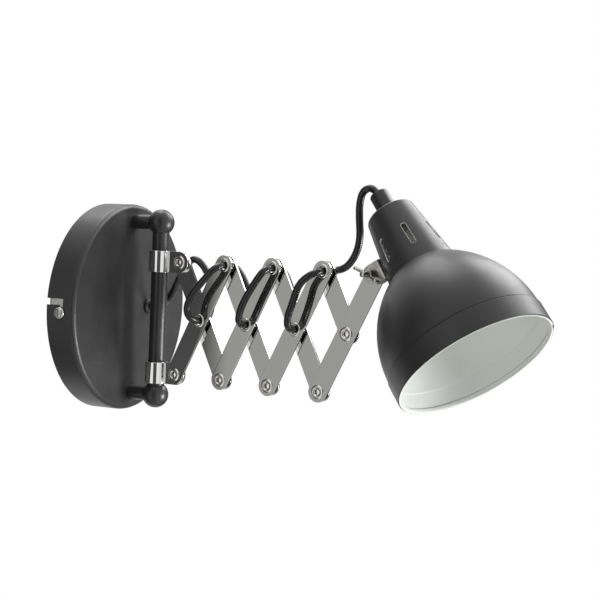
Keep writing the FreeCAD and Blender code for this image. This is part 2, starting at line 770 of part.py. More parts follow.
WEB = f"({NECK_GAP} - seat_gap)"
EAR_OUT = "(bracket_gap / 2 + bracket_sheet)"
EAR_BEND = "(bracket_bend + bracket_sheet)"
EAR_TIP = "bracket_height / 2"
tilt_bracket = new_body("tilt_bracket")
sketch = new_sketch(tilt_bracket, "XY_Plane")
outline(sketch, [
    (f"-{EAR_OUT}", EAR_TIP),
    (f"-{EAR_OUT}", f"{EAR_BEND} - {WEB}", EAR_BEND, 1),
    (f"{EAR_BEND} - {EAR_OUT}", f"-{WEB}"),
    (f"{EAR_OUT} - {EAR_BEND}", f"-{WEB}", EAR_BEND, 1),
    (EAR_OUT, f"{EAR_BEND} - {WEB}"),
    (EAR_OUT, EAR_TIP),
    ("bracket_gap / 2", EAR_TIP),
    ("bracket_gap / 2", f"{EAR_BEND} - {WEB}", "bracket_bend", -1),
    ("bracket_gap / 2 - bracket_bend", f"bracket_sheet - {WEB}"),
    ("bracket_bend - bracket_gap / 2", f"bracket_sheet - {WEB}", "bracket_bend", -1),
    ("-bracket_gap / 2", f"{EAR_BEND} - {WEB}"),
    ("-bracket_gap / 2", EAR_TIP),
])
pad(tilt_bracket, sketch, "bracket_height", middle=True)
sketch = new_sketch(tilt_bracket, "YZ_Plane")
ring(sketch, "0", "0", "screw_thread / 2 + face_gap")
pocket(tilt_bracket, sketch, "bracket_gap * 2", middle=True)
sketch = new_sketch(tilt_bracket, "XZ_Plane")
ring(sketch, "0", "0", "screw_thread / 2 + turn_gap")
pocket(tilt_bracket, sketch, "tilt_offset", reverse=True)
round_edges(tilt_bracket, "bracket_corner", lambda edge: (
    edge.BoundBox.YLength < 0.01 and edge.BoundBox.ZLength < 0.01
    and abs(edge.BoundBox.YMax - measure(EAR_TIP)) < 0.01))
tilt_bracket.Placement = BRACKET

make_screw("tilt_screw", f"{EAR_OUT} + tilt_screw_tip",
           BRACKET * shift(measure(f"{EAR_OUT} + face_gap"), 0, 0) * turn(180, (0, 0, 1)))
make_screw("neck_screw", "neck_screw_seat + shade_sheet + seat_gap + bracket_sheet",
           BRACKET * shift(0, -measure(f"{NECK_GAP} + shade_sheet + neck_screw_seat"), 0)
           * turn(90, (0, 0, 1)))


def make_washer(label, side):
    """A friction washer, between an ear of the bracket and the link."""
    body = new_body(label)
    sketch = new_sketch(body, "YZ_Plane", "link_sheet / 2 + face_gap")
    ring(sketch, "0", "0", "washer_radius")
    ring(sketch, "0", "0", "screw_thread / 2 + face_gap")
    pad(body, sketch, "(bracket_gap - link_sheet) / 2 - face_gap * 2")
    body.Placement = BRACKET * turn(90 - 90 * side, (0, 0, 1))
    return body


make_washer("front_washer", -1)
make_washer("rear_washer", 1)


# ---- wing nut ---------------------------------------------------------------------------------
# It sits on the front ear with its wings spread away from the link. The wings lean outwards and
# have round tips.

TIP_ACROSS = "(wing_reach - wing_tip)"
TIP_ALONG = "(wing_tip - wing_rise)"
wing_nut = new_body("wing_nut")
sketch = new_sketch(wing_nut, "XY_Plane")
outline(sketch, [
    ("0", "0"),
    ("0", "nut_radius"),
    ("-nut_height", "nut_top_radius"),
    ("-nut_height", "0"),
])
revolve(wing_nut, sketch, "X_Axis")
sketch = new_sketch(wing_nut, "XY_Plane")
SLOPE = "(wing_slope * 1deg)"
ALONG = f"wing_tip * cos({SLOPE})"
ACROSS = f"wing_tip * sin({SLOPE})"
outline(sketch, [
    ("-wing_root", "0"),
    (f"{TIP_ALONG} + {ALONG}", f"{TIP_ACROSS} + {ACROSS}", "wing_tip", 1),
    (f"{TIP_ALONG} - {ALONG}", f"{TIP_ACROSS} - {ACROSS}"),
    ("-nut_height", "0"),
    (f"{TIP_ALONG} - {ALONG}", f"-{TIP_ACROSS} + {ACROSS}", "wing_tip", 1),
    (f"{TIP_ALONG} + {ALONG}", f"-{TIP_ACROSS} - {ACROSS}"),
])
pad(wing_nut, sketch, "wing_sheet", middle=True)
sketch = new_sketch(wing_nut, "YZ_Plane")
ring(sketch, "0", "0", "screw_thread / 2 + face_gap")
pocket(wing_nut, sketch, "nut_height * 4", middle=True)
wing_nut.Placement = (high_pivot(LINKS, -LAYER) * turn(measure("wing_turn"), (1, 0, 0))
                      * shift(-measure(f"{EAR_OUT} + face_gap"), 0, 0))


# ---- lampholder -------------------------------------------------------------------------------
# A small screw-cap lampholder hangs from a threaded tube, which a nut clamps to the neck's top.

HOLDER_BORE = "(liner_radius + liner_sheet + face_gap)"
lampholder = new_body("lampholder")
sketch = new_sketch(lampholder, "XZ_Plane")
outline(sketch, [
    (HOLDER_BORE, "-holder_end"),
    ("holder_radius - holder_lip", "-holder_end", "holder_lip", 1),
    ("holder_radius", "holder_lip - holder_end"),
    ("holder_radius", "holder_shoulder"),
    ("holder_neck_radius", "holder_waist"),
    ("holder_neck_radius", "holder_top"),
    ("nipple_radius + face_gap", "holder_top"),
    ("nipple_radius + face_gap", "holder_top - nipple_seat"),
    ("0", "holder_top - nipple_seat"),
    ("0", "socket_top"),
    (HOLDER_BORE, "socket_top"),
])
revolve(lampholder, sketch, "Z_Axis")
lampholder.Placement = HEAD

socket_liner = new_body("socket_liner")
sketch = new_sketch(socket_liner, "XY_Plane", "-holder_end + holder_lip")
ring(sketch, "0", "0", "liner_radius + liner_sheet")
ring(sketch, "0", "0", "liner_radius")
pad(socket_liner, sketch, "socket_top + holder_end - holder_lip - contact_height - face_gap * 4")
socket_liner.Placement = HEAD

socket_contact = new_body("socket_contact")
sketch = new_sketch(socket_contact, "XY_Plane", "socket_top - contact_height")
ring(sketch, "0", "0", "contact_radius")
pad(socket_contact, sketch, "contact_height")
socket_contact.Placement = HEAD

NIPPLE_LOW = "(holder_top - nipple_seat + face_gap)"
NIPPLE_HIGH = "(neck_top + nipple_rise)"
threaded_nipple = new_body("threaded_nipple")
sketch = new_sketch(threaded_nipple, "XY_Plane", NIPPLE_LOW)
ring(sketch, "0", "0", "nipple_radius")
ring(sketch, "0", "0", "nipple_bore")
pad(threaded_nipple, sketch, f"{NIPPLE_HIGH} - {NIPPLE_LOW}")
threaded_nipple.Placement = HEAD

lock_nut = new_body("lock_nut")
sketch = new_sketch(lock_nut, "XY_Plane", "neck_top - shade_sheet - face_gap - locknut_height")
flats = []
for corner in range(6):
    flats.append((f"locknut_width / sqrt(3) * cos({corner * 60}deg)",
                  f"locknut_width / sqrt(3) * sin({corner * 60}deg)"))
outline(sketch, flats)
ring(sketch, "0", "0", "nipple_radius + face_gap")
pad(lock_nut, sketch, "locknut_height")
lock_nut.Placement = HEAD

CAP_TOP = "(neck_top + cap_height)"
cord_cap = new_body("cord_cap")
sketch = new_sketch(cord_cap, "XZ_Plane")
outline(sketch, [
    ("nipple_radius + face_gap", "neck_top + face_gap"),
    ("cap_radius", "neck_top + face_gap"),
    ("cap_radius", f"{CAP_TOP} - cap_edge", "cap_edge", 1),
    ("cap_radius - cap_edge", CAP_TOP),
    (GROMMET_BORE, CAP_TOP),
    (GROMMET_BORE, f"{CAP_TOP} - cap_entry"),
    ("0", f"{CAP_TOP} - cap_entry"),
    ("0", f"{NIPPLE_HIGH} + face_gap"),
    ("nipple_radius + face_gap", f"{NIPPLE_HIGH} + face_gap"),
])
revolve(cord_cap, sketch, "Z_Axis")
cord_cap.Placement = HEAD


# ---- cable ------------------------------------------------------------------------------------
# One black cable is threaded through the hollow pivots, in front of each rising link and behind
# each falling one. A strand ends in the middle of an eyelet, where the next one starts.

def make_cable(label, points, placement):
    """A round tube along straight runs that are joined by tangent arcs."""
    radius = measure("cable_diameter / 2")
    edges = []
    start = points[0]
    radii = []
    for before, corner, after in zip(points, points[1:], points[2:]):
        back = before - corner
        ahead = after - corner
        cut = 0.45 * min(back.Length, ahead.Length)
        half_turn = (math.pi - back.getAngle(ahead)) / 2
        radii.append(cut / math.tan(half_turn))
        back.normalize()
        ahead.normalize()
        bisector = (back + ahead).normalize()
        middle = corner + bisector * (radii[-1] / math.cos(half_turn) - radii[-1])
        edges.append(Part.LineSegment(start, corner + back * cut).toShape())
        edges.append(Part.Arc(corner + back * cut, middle, corner + ahead * cut).toShape())
        start = corner + ahead * cut
    edges.append(Part.LineSegment(start, points[-1]).toShape())
    path = Part.Wire(edges)
    profile = Part.Wire([Part.Circle(points[0], points[1] - points[0], radius).toShape()])
    cable = doc.addObject("Part::Feature", label)
    cable.Label = label
    cable.Shape = path.makePipeShell([profile], True, True)
    cable.Placement = placement
    expected = math.pi * radius**2 * path.Length
    print(f"{label}: length {path.Length:.1f}, radii", *(f"{number:.1f}" for number in radii),
          f"volume {cable.Shape.Volume / expected:.4f} of section times length")
    return cable


def spots(*points):
    return [FreeCAD.Vector(*point) for point in points]


MIDDLE = measure("link_length / 2")
END = measure("link_length")
OUT_OF_GROMMET = spots((measure("grommet_place"), -measure("canopy_depth - grommet_back"), 0),
                       (measure("grommet_place"), -measure("canopy_depth") - 11.2, 0))
first_eye = ARM.inverse() * middle_pivot(0)
to_first_eye = spots(
    (12.5, -1.5, 9.5), (9.6, -11.5, 24.8), (8.8, -21, 37.2), (8.8, -28.2, 36.9),
    (9.2, -36.6, 28.3), (10, -40.9, 12.5), (10.5, first_eye.Base.y, first_eye.Base.z),
    tuple(first_eye.Base))
make_cable("cable_root", [ARM.inverse() * point for point in OUT_OF_GROMMET] + to_first_eye, ARM)

FRONT_LOOPS = [
    spots((0, 0, MIDDLE), (-10.5, 0, MIDDLE), (-13.5, 6.8, 50.5), (-13.3, 7.2, 62.5),
          (-12.5, 3.8, 76), (-10.5, 0, END), (0, 0, END)),
    spots((0, 0, MIDDLE), (-10.5, 0, MIDDLE), (-13.5, 2.2, 54.2), (-13.3, 2.4, 66),
          (-12.3, 1.4, 78.5), (-10.5, 0, END), (0, 0, END)),
    spots((0, 0, MIDDLE), (-10.5, 0, MIDDLE), (-14, 2.6, 53), (-13.6, 4, 64.5),
          (-12.8, 6.6, 77.5), (-10.5, 0, END), (0, 0, END)),
]
for number, route in enumerate(FRONT_LOOPS):
    make_cable(f"cable_front_{number + 1}", route, low_pivot(number) * RISING)

REAR_LOOPS = [
    spots((0, 0, END), (10.5, 0, END), (11.3, -3, 79.6), (11.3, -2.8, 68), (11, -1, 56.5),
          (10.5, 0, MIDDLE), (0, 0, MIDDLE)),
    spots((0, 0, END), (10.5, 0, END), (11.3, -0.8, 79.4), (11.3, 0.9, 68), (11, -0.6, 56.5),
          (10.5, 0, MIDDLE), (0, 0, MIDDLE)),
]
for number, route in enumerate(REAR_LOOPS, start=1):
    make_cable(f"cable_rear_{number}", route, low_pivot(number + 1) * FALLING)

last_eye = (ARM.inverse() * high_pivot(LINKS - 1)).Base
to_cap = spots(tuple(last_eye), (9.3, last_eye.y, last_eye.z), (10.3, -149.5, 36.5),
               (9.5, -157.4, 46), (8.5, -160.6, 57.5), (8, -159.5, 69.5), (7.5, -159.3, 80),
               (7.3, -161.8, 88.9))
INTO_CAP = [FreeCAD.Vector(0, 0, measure(CAP_TOP) + 6.5),
            FreeCAD.Vector(0, 0, measure(f"{CAP_TOP} - cap_entry"))]
make_cable("cable_lead", to_cap + [ARM.inverse() * HEAD * point for point in INTO_CAP], ARM)


# ---- checks and files -------------------------------------------------------------------------

doc.recompute()
for item in doc.Objects:
    if "Invalid" in item.State or "Error" in item.State:
        raise ValueError(f"{item.Label} didn't build: {item.State}")
pieces = [item for item in doc.Objects
          if item.TypeId in ("PartDesign::Body", "Part::Cylinder", "Part::Feature")]
for piece in pieces:
    if piece.Shape.isNull() or not piece.Shape.isValid() or len(piece.Shape.Solids) != 1:
        raise ValueError(f"{piece.Label} isn't one sound solid")
os.makedirs("parts", exist_ok=True)
for piece in pieces:
    piece.Shape.exportStep(f"parts/{piece.Label}.step")
print(len(pieces), "pieces")
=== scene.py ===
import json
from math import atan, cos, pi, radians, sin

import bmesh
import bpy
from mathutils import Matrix, Vector


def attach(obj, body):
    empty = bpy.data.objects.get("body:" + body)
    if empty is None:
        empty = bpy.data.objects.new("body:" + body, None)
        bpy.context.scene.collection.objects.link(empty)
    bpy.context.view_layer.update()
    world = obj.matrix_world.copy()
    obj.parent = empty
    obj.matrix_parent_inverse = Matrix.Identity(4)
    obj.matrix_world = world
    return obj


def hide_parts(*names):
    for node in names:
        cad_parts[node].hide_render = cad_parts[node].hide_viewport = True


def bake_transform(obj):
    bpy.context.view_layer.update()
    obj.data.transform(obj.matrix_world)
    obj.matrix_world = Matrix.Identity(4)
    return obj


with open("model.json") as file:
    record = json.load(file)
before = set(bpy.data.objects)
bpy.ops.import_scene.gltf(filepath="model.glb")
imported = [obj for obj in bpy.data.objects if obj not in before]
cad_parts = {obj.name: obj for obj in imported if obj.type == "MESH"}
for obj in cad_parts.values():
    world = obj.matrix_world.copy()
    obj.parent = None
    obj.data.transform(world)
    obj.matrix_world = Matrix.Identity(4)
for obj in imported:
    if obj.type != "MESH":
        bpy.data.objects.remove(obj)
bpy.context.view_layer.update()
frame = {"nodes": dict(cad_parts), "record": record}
mm = 0.001


# ---- wall plate ----
# A zinc plated steel strip, bent up at both ends into tabs that are tapped for the side screws.
# Two wall screws hold it through its long holes, and the canopy hides all but its tabs.

def linear(colour):
    """The linear colour, with alpha, of an sRGB hex value such as "#8a8a8a"."""
    parts = [int(colour[k:k + 2], 16) / 255 for k in (1, 3, 5)]
    return [part / 12.92 if part <= 0.04045 else ((part + 0.055) / 1.055) ** 2.4
            for part in parts] + [1]


def add(tree, kind, inputs=None, **settings):
    """Adds a node of this kind to the tree. An input is a plain value or another node's output."""
    made = tree.nodes.new("ShaderNode" + kind)
    for name, value in settings.items():
        setattr(made, name, value)
    for name, value in (inputs or {}).items():
        if isinstance(value, bpy.types.NodeSocket):
            tree.links.new(value, made.inputs[name])
        else:
            made.inputs[name].default_value = value
    return made


def start_material(name, colour, metallic=0, roughness=0.5, ior=1.5):
    """A material with its shader, ready for the pattern that its surface has."""
    material = bpy.data.materials.new(name)
    material.use_nodes = True
    tree = material.node_tree
    shader = tree.nodes["Principled BSDF"]
    shader.inputs["Base Color"].default_value = linear(colour)
    shader.inputs["Metallic"].default_value = metallic
    shader.inputs["Roughness"].default_value = roughness
    shader.inputs["IOR"].default_value = ior
    place = add(tree, "TexCoord").outputs["Object"]
    return material, tree, shader, place


def vary(tree, shader, place, socket, size, low, high, detail=2, stretch=(1, 1, 1)):
    """Lets one of the shader's inputs wander between two values over patches of this size."""
    spread = add(tree, "Mapping", {"Vector": place, "Scale": stretch}).outputs[0]
    cloud = add(tree, "TexNoise", {"Vector": spread, "Scale": 1 / size, "Detail": detail})
    if isinstance(low, str):
        ramp = add(tree, "ValToRGB", {"Fac": cloud.outputs["Fac"]})
        ramp.color_ramp.elements[0].position, ramp.color_ramp.elements[1].position = 0.35, 0.65
        ramp.color_ramp.elements[0].color = linear(low)
        ramp.color_ramp.elements[1].color = linear(high)
        tree.links.new(ramp.outputs["Color"], shader.inputs[socket])
    else:
        span = add(tree, "MapRange", {"Value": cloud.outputs["Fac"], "From Min": 0.35,
                                      "From Max": 0.65, "To Min": low, "To Max": high})
        tree.links.new(span.outputs["Result"], shader.inputs[socket])


def bump(tree, shader, place, size, height, strength=1, stretch=(1, 1, 1), detail=1):
    """Gives the surface a fine relief: grains of this size and height."""
    spread = add(tree, "Mapping", {"Vector": place, "Scale": stretch}).outputs[0]
    grain = add(tree, "TexNoise", {"Vector": spread, "Scale": 1 / size, "Detail": detail})
    relief = add(tree, "Bump", {"Height": grain.outputs["Fac"], "Strength": strength,
                                "Distance": height})
    tree.links.new(relief.outputs["Normal"], shader.inputs["Normal"])


# Bright zinc plate on rolled steel: pale, a little cloudy, with the strip's rolling lines.
zinc_plate, tree, shader, place = start_material("zinc_plate", "#bdbdb8", 1, 0.3)
vary(tree, shader, place, "Base Color", 6 * mm, "#b2b1ab", "#c9c9c6")
vary(tree, shader, place, "Roughness", 3 * mm, 0.24, 0.36)
bump(tree, shader, place, 0.5 * mm, 0.01 * mm, 0.3, (0.1, 1, 1))


def settle(mesh, edge, segments=2, angle=35):
    """Merges a mesh, eases its sharp edges by this much and shades it smooth between them."""
    bmesh.ops.remove_doubles(mesh, verts=mesh.verts, dist=0.002 * mm)
    bmesh.ops.dissolve_limit(mesh, angle_limit=radians(0.4), verts=mesh.verts, edges=mesh.edges)
    sharp = [e for e in mesh.edges if len(e.link_faces) == 2
             and e.calc_face_angle(0) > radians(angle)]
    if edge:
        bmesh.ops.bevel(mesh, geom=sharp, offset=edge, segments=segments, profile=0.5,
                        affect="EDGES", clamp_overlap=True, material=-1)
    for face in mesh.faces:
        face.smooth = True
    for e in mesh.edges:
        e.smooth = e.calc_face_angle(pi) < radians(angle)


def piece(name, mesh, materials, body, slot, *nodes):
    """Makes an object of the mesh, which rides on a body and stands for CAD nodes."""
    data = bpy.data.meshes.new(name)
    mesh.to_mesh(data)
    mesh.free()
    for material in materials:
        data.materials.append(material)
    made = bpy.data.objects.new(name, data)
    bpy.context.scene.collection.objects.link(made)
    normals = made.modifiers.new("even_normals", "WEIGHTED_NORMAL")
    normals.keep_sharp = True
    if body:
        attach(made, body)
    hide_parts(*nodes)
    return made


BODY_OF = {node: body for body, members in frame["record"]["behaviour"]["bodies"].items()
           for node in members}
SLOT_OF = {row["node"]: row["material_slot"] for row in frame["record"]["subparts"]}


def dress(node, material, edge, segments=2):
    """A finer copy of a CAD node: merged, with eased edges and smooth curves."""
    mesh = bmesh.new()
    mesh.from_mesh(frame["nodes"][node].data)
    settle(mesh, edge, segments)
    return piece(node + "_finished", mesh, [material], BODY_OF[node], SLOT_OF[node], node)


dress("wall_plate", zinc_plate, 0.25 * mm)


# ---- canopy ----
# A cup of steel sheet, spun over a form and turned to a soft edge, with a bayonet slot in each
# side. It is sprayed in satin black, which shows the finest orange peel under a low light.

# Satin black powder coat on steel: dark grey in the light, with a wide soft gloss.
satin_black, tree, shader, place = start_material("satin_black_coat", "#2e2e2f", 0, 0.4)
vary(tree, shader, place, "Base Color", 30 * mm, "#2c2c2d", "#303031")
vary(tree, shader, place, "Roughness", 12 * mm, 0.37, 0.43)
bump(tree, shader, place, 0.9 * mm, 0.012 * mm, 0.35)

dress("canopy_shell", satin_black, 0.25 * mm, 3)


# ---- screws ----
# Pan head machine screws, M4, cold formed with a cross recess and zinc plated. Two clamp the
# canopy to the plate's tabs, two hold the posts, one is the arm's tilt pivot, one holds the neck.

for node in ("side_screw_left", "side_screw_right", "upper_post_screw", "lower_post_screw",
             "neck_screw"):
    dress(node, zinc_plate, 0.12 * mm)


# ---- terminal block ----
# A moulded block in pale polyamide, screwed to the plate. The supply wires and the lamp's cable
# meet in its two brass ways.

# Moulded polyamide: off-white, faintly translucent to the eye, with a fine mould grain.
moulded_nylon, tree, shader, place = start_material("moulded_nylon", "#d8d6cd", 0, 0.5)
vary(tree, shader, place, "Roughness", 5 * mm, 0.45, 0.55)
bump(tree, shader, place, 0.4 * mm, 0.01 * mm, 0.3)

dress("terminal_block", moulded_nylon, 0.5 * mm, 3)


# ---- grommet ----
# A soft rubber ring, pressed into the canopy's front. It keeps the sheet's edge off the cable.

# Moulded rubber: deep black and dull, with a slight bloom.
soft_rubber, tree, shader, place = start_material("moulded_rubber", "#1b1b1b", 0, 0.62)
vary(tree, shader, place, "Roughness", 2 * mm, 0.55, 0.7)
bump(tree, shader, place, 0.3 * mm, 0.01 * mm, 0.4)

dress("cable_grommet", soft_rubber, 0.3 * mm, 3)


# ---- posts, balls and guide rod ----
# Two turned posts stand on the canopy and carry turned balls, which hold the rod's ends. All are
# steel in the same satin black as the canopy, but smoother, so their gloss is narrower.

# Satin black coat on turned steel: smoother than on the spun sheet, with narrow highlights.
turned_black, tree, shader, place = start_material("satin_black_on_turned_steel", "#2b2b2c", 0, 0.33)
vary(tree, shader, place, "Roughness", 8 * mm, 0.31, 0.37)
bump(tree, shader, place, 0.7 * mm, 0.008 * mm, 0.3)

for node in ("upper_post", "lower_post", "upper_ball", "lower_ball", "guide_rod"):
    dress(node, turned_black, 0.2 * mm)


# ---- collars ----
# Steel strap folded round the rod, its two leaves closed into an ear, then polished and chromed.
# The collars slide and turn on the rod, and each ear carries the first pivot of a row of links.

# Polished chrome plate: a mirror with a cool tint and the last faint lines of the polishing mop.
mirror_chrome, tree, shader, place = start_material("polished_chrome_plate", "#e2e2e0", 1, 0.03)
vary(tree, shader, place, "Roughness", 9 * mm, 0.012, 0.03)
bump(tree, shader, place, 9 * mm, 0.01 * mm, 0.06, (1, 1, 0.25))

for node in ("upper_collar", "lower_collar"):
    dress(node, mirror_chrome, 0.3 * mm, 3)


# ---- scissor links ----
# Flat bars blanked from steel strip with round ends, tumbled so that their edges are soft, then
# polished and chromed. Those that rise outwards lie in front, the falling ones behind.

for node in [n for n in frame["nodes"] if "_link_" in n]:
    dress(node, mirror_chrome, 0.28 * mm, 3)


# ---- rivets and eyelets ----
# Nickel plated brass. A closed rivet has a raised ring round a dimple where the press closed it,
# and the cable runs through the open eyelets, whose lips are rolled over the links.

# Bright nickel plate: a warmer and softer mirror than chrome.
bright_nickel, tree, shader, place = start_material("bright_nickel_plate", "#e0deda", 1, 0.14)
vary(tree, shader, place, "Roughness", 2 * mm, 0.12, 0.22)
bump(tree, shader, place, 1.2 * mm, 0.02 * mm, 0.35)

ROD_PLACE, ARM_TURN = -43.5 * mm, radians(-8)
LINK_LENGTH, LINK_ANGLE = 90 * mm, radians(63.45)
FIRST_PIVOT, LOW_ROW = -18.5 * mm, -46 * mm
ARM = Matrix.Translation((0, ROD_PLACE, 0)) @ Matrix.Rotation(ARM_TURN, 4, "Z")
PITCH = LINK_LENGTH * cos(LINK_ANGLE)
RISE = LINK_LENGTH * sin(LINK_ANGLE)


def low_pivot(number, layer=0):
    """The place of a lower pivot, counted from the rod, or of a layer of links beside it."""
    return ARM @ Matrix.Translation((layer, FIRST_PIVOT - PITCH * number, LOW_ROW))


def middle_pivot(number, layer=0):
    """The place where a rising and a falling link cross."""
    return low_pivot(number + 0.5, layer) @ Matrix.Translation((0, 0, RISE / 2))


def high_pivot(number, layer=0):
    """The place of an upper pivot, counted from the rod."""
    return low_pivot(number, layer) @ Matrix.Translation((0, 0, RISE))


def turned(mesh, corners, axis="Z", steps=64):
    """Turns a section about an axis. Its corners are (radius, height) in millimetres."""
    points = [mesh.verts.new((radius * mm, 0, height * mm)) for radius, height in corners]
    rim = [mesh.edges.new(pair) for pair in zip(points, points[1:])]
    bmesh.ops.spin(mesh, geom=points + rim, cent=(0, 0, 0), axis=(0, 0, 1), angle=2 * pi,
                   steps=steps, use_merge=True)
    bmesh.ops.remove_doubles(mesh, verts=mesh.verts, dist=0.001 * mm)
    bmesh.ops.recalc_face_normals(mesh, faces=mesh.faces)
    if axis == "X":
        bmesh.ops.rotate(mesh, verts=mesh.verts, cent=(0, 0, 0),
                         matrix=Matrix.Rotation(pi / 2, 3, "Y"))


def closed_rivet(node, place, front, back):
    """A rivet from front to back of its pivot: ring, dimple and a domed flange on both sides."""
    mesh = bmesh.new()
    turned(mesh, [(0, -front - 0.5), (0.7, -front - 0.46), (1.3, -front - 0.3),
                  (1.8, -front - 0.08), (2.2, -front - 0.08), (2.6, -front - 0.5),
                  (3.1, -front - 0.68), (3.7, -front - 0.68), (4.2, -front - 0.52),
                  (4.7, -front - 0.3), (4.8, -front - 0.05), (3.7, -front - 0.05),
                  (3.7, back + 0.05), (4.8, back + 0.05), (4.8, back + 0.35),
                  (4.3, back + 0.62), (1.2, back + 0.65), (0, back + 0.65)], "X")
    settle(mesh, 0.1 * mm, 3)
    mesh.transform(place)
    return piece(node + "_finished", mesh, [bright_nickel], BODY_OF[node], SLOT_OF[node], node)


def open_eyelet(node, place):
    """An eyelet: a tube with a lip rolled outwards over the link on each side."""
    mesh = bmesh.new()
    front = [(3.0, 0), (3.0, -2.85), (3.15, -3.2), (3.5, -3.35), (4.1, -3.35), (4.6, -3.2),
             (4.8, -2.95), (4.75, -2.75), (3.7, -2.75), (3.7, 0)]
    back = [(radius, -height) for radius, height in front[1:-1]][::-1]
    turned(mesh, front + back + front[:1], "X", 72)
    settle(mesh, 0.06 * mm, 2)
    mesh.transform(place)
    return piece(node + "_finished", mesh, [bright_nickel], BODY_OF[node], SLOT_OF[node], node)


closed_rivet("upper_collar_rivet", high_pivot(0), 1.15, 2.7)
closed_rivet("lower_collar_rivet", low_pivot(0), 2.7, 1.15)
closed_rivet("middle_rivet", middle_pivot(3), 2.7, 2.7)
for number in (1, 2, 3):
    closed_rivet(f"low_rivet_{number}", low_pivot(number), 2.7, 2.7)
    open_eyelet(f"high_eyelet_{number}", high_pivot(number))
    open_eyelet(f"middle_eyelet_{number}", middle_pivot(number - 1))


# ---- tilt bracket ----
# A bent steel strip, zinc plated. Its web is screwed to the neck and its two round ears straddle
# the last link, with a friction washer on each side of it.

for node in ("tilt_bracket", "front_washer", "rear_washer"):
    dress(node, zinc_plate, 0.2 * mm)

RISING_LAYER = -1.95 * mm
HEAD_TILT, HEAD_TURN = radians(50.2 - 90), radians(10.8)
NECK_SLOPE = atan(6.7 / 47.5)
SCREW_TO_NECK_AXIS = 28.7 * mm
BRACKET = (high_pivot(4, RISING_LAYER) @ Matrix.Rotation(HEAD_TILT, 4, "X")
           @ Matrix.Rotation(NECK_SLOPE, 4, "X"))
HEAD = (BRACKET @ Matrix.Rotation(HEAD_TURN, 4, "Y") @ Matrix.Rotation(-NECK_SLOPE, 4, "X")
        @ Matrix.Translation((0, -SCREW_TO_NECK_AXIS, 0)))
SCREW_HEAD_SEAT = 5.8 * mm


def thread(mesh, radius, depth, pitch, start, length, steps=24):
    """Winds a screw thread along Z: a sharp ridge of this depth on a core."""
    corners = [mesh.verts.new(((radius - depth) * mm, 0, (start - pitch * 0.5) * mm)),
               mesh.verts.new((radius * mm, 0, start * mm)),
               mesh.verts.new(((radius - depth) * mm, 0, (start + pitch * 0.5) * mm))]
    ridge = [mesh.edges.new(corners[:2]), mesh.edges.new(corners[1:])]
    turns = length / pitch
    bmesh.ops.spin(mesh, geom=corners + ridge, cent=(0, 0, 0), axis=(0, 0, 1),
                   dvec=(0, 0, pitch * mm / steps), angle=2 * pi * turns,
                   steps=int(steps * turns))


def join(mesh, other):
    """Adds another mesh to this one."""
    spare = bpy.data.meshes.new("spare")
    other.to_mesh(spare)
    other.free()
    mesh.from_mesh(spare)
    bpy.data.meshes.remove(spare)


# The CAD's plain screw keeps its head, and a shank with a real thread takes the place of its own.
mesh = bmesh.new()
mesh.from_mesh(frame["nodes"]["tilt_screw"].data)
mesh.transform(BRACKET.inverted())
bmesh.ops.bisect_plane(mesh, geom=mesh.verts[:] + mesh.edges[:] + mesh.faces[:],
                       plane_co=(SCREW_HEAD_SEAT, 0, 0), plane_no=(-1, 0, 0), clear_outer=True)
settle(mesh, 0.12 * mm)
shank = bmesh.new()
turned(shank, [(0, -18.9), (1.6, -18.9), (1.85, -18.6), (1.85, 5.85)])
thread(shank, radius=1.99, depth=0.16, pitch=0.7, start=-18.0, length=23.1)
for face in shank.faces:
    face.smooth = True
bmesh.ops.rotate(shank, verts=shank.verts, cent=(0, 0, 0), matrix=Matrix.Rotation(pi / 2, 3, "Y"))
join(mesh, shank)
mesh.transform(BRACKET)
piece("tilt_screw_finished", mesh, [zinc_plate], "tilt_bracket", "zinc", "tilt_screw")


# ---- wing nut ----
# Die cast in zinc alloy and barrelled: a conical hub with two wings that lean outwards. Its edges
# are soft and its skin is a little uneven, as castings are.

# Die cast zinc alloy: a warm grey metal with soft, slightly pitted skin.
cast_zinc, tree, shader, place = start_material("die_cast_zinc", "#b9b8b0", 1, 0.27)
vary(tree, shader, place, "Roughness", 2 * mm, 0.2, 0.36)
bump(tree, shader, place, 0.8 * mm, 0.05 * mm, 0.5)

dress("wing_nut", cast_zinc, 0.45 * mm, 3)


# ---- shade ----
# Steel sheet, spun in one piece: a slotted conical neck, a dome and a turned band at the rim.
# Satin black outside, white enamel inside and on the slot walls; the white slot rims are painted
# highlight.

# Stoved white enamel: bright, smooth and glossy, with a soft cool cast.
white_enamel, tree, shader, place = start_material("stoved_white_enamel", "#d6d9d7", 0, 0.34)
vary(tree, shader, place, "Roughness", 15 * mm, 0.28, 0.36)
bump(tree, shader, place, 1.5 * mm, 0.01 * mm, 0.2)


def bow(begin, end, radius, steps, side):
    """Corners along an arc of this radius between two corners of a section."""
    a, b = Vector(begin), Vector(end)
    half = (b - a).length / 2
    across = Vector((a.y - b.y, b.x - a.x)).normalized() * side
    centre = (a + b) / 2 - across * (radius ** 2 - half ** 2) ** 0.5
    sweep = (a - centre).angle_signed(b - centre)
    return [tuple(centre + Matrix.Rotation(-sweep * k / steps, 2) @ (a - centre))
            for k in range(steps + 1)]


